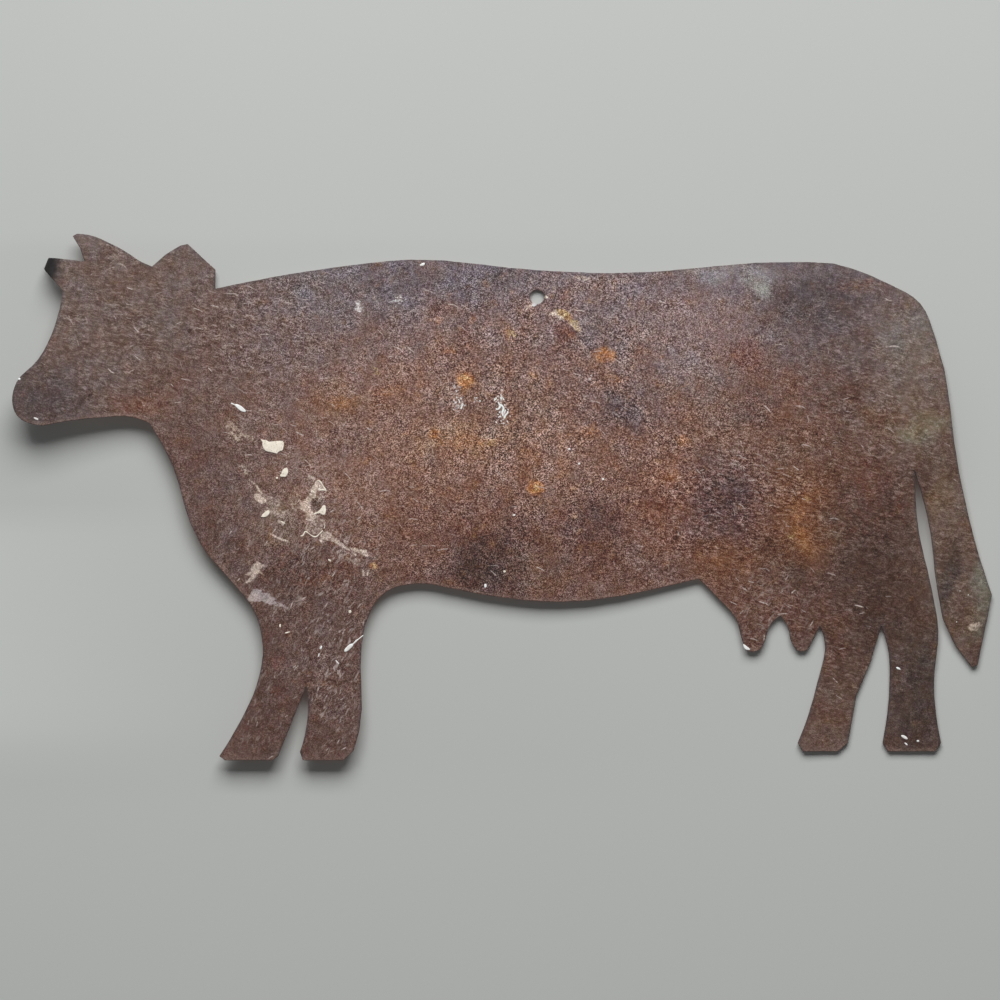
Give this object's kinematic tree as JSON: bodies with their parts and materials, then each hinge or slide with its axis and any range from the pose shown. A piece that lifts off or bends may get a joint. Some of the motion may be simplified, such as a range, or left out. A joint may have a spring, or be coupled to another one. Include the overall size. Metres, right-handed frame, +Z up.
{
  "type": "weathervane figure",
  "caption": "Standing cow in profile, cut from one flat sheet of rusted iron, with a round hanging hole near the top of the back and one horn tip bent back.",
  "frame": {"origin": "middle of the hanging hole, half way through the sheet's thickness", "axes": "+X along the cow towards its tail, +Y from the weathered face of the picture to the back of the sheet, +Z up"},
  "size_m": [0.35, 0.0078, 0.1881],
  "materials": {
    "rusted_iron": "matte",
    "plaster": "matte",
    "dried_paint": "matte"
  },
  "bodies": {
    "root": {"cow_sheet": "rusted_iron", "plaster_flakes": "plaster", "paint_drops": "dried_paint"}
  },
  "joints": []
}
